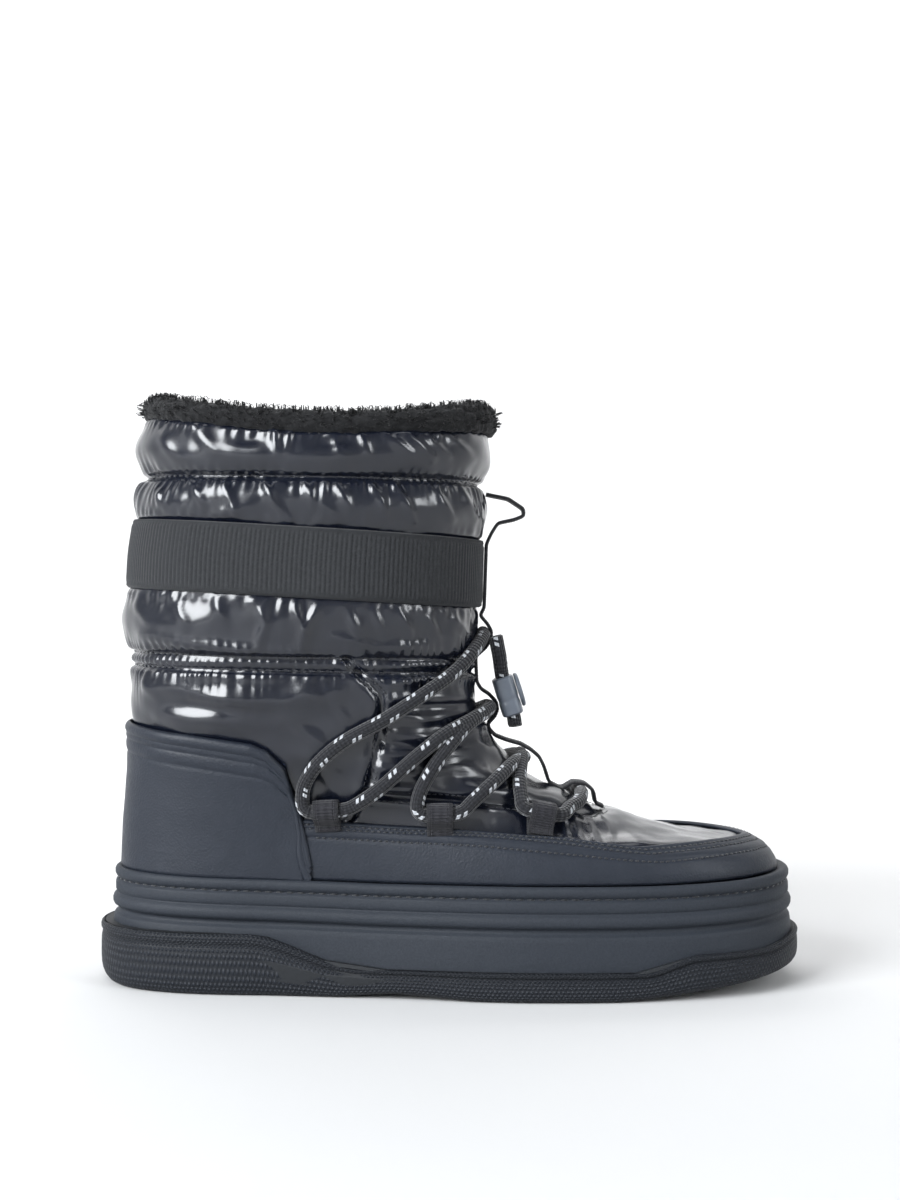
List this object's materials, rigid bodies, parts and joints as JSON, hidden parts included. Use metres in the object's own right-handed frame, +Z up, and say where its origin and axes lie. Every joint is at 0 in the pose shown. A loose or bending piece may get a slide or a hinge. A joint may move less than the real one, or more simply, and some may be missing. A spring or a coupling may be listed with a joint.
{
  "type": "lace-up boot",
  "caption": "Right winter boot with a padded quilted nylon upper, fur collar, cord lacing with a cord lock, leather overlays and a thick cup sole.",
  "frame": {"origin": "middle of the boot's box, on the floor", "axes": "+X towards the toe, +Y towards the inner side of the foot, +Z up"},
  "size_m": [0.28, 0.1068, 0.2326],
  "materials": {
    "rubber": "matte moulded rubber with a pebbled foxing",
    "foam": "matte moulded cup",
    "footbed": "short pile",
    "nylon": "glossy coated nylon, padded",
    "leather": "satin fine grain",
    "grosgrain": "ribbed band with knitted edges",
    "webbing": "woven webbing",
    "fur": "curled pile",
    "cord": "round braid with pale flecks",
    "plastic": "satin moulded plastic"
  },
  "bodies": {
    "root": {"outsole": "rubber", "midsole": "foam", "insole": "footbed", "upper": "nylon", "heel_counter": "leather", "mudguard": "leather", "shaft_band": "grosgrain", "fur_collar": "fur", "front_webbing": "webbing", "lace_loop_outer_rear": "webbing", "lace_loop_outer_middle": "webbing", "lace_loop_outer_front": "webbing", "lace_loop_inner_rear": "webbing", "lace_loop_inner_middle": "webbing", "lace_loop_inner_front": "webbing", "lace": "cord", "lace_end_outer": "cord", "lace_end_inner": "cord", "cord_lock_barrel": "plastic", "cord_lock_button": "plastic"}
  },
  "joints": []
}
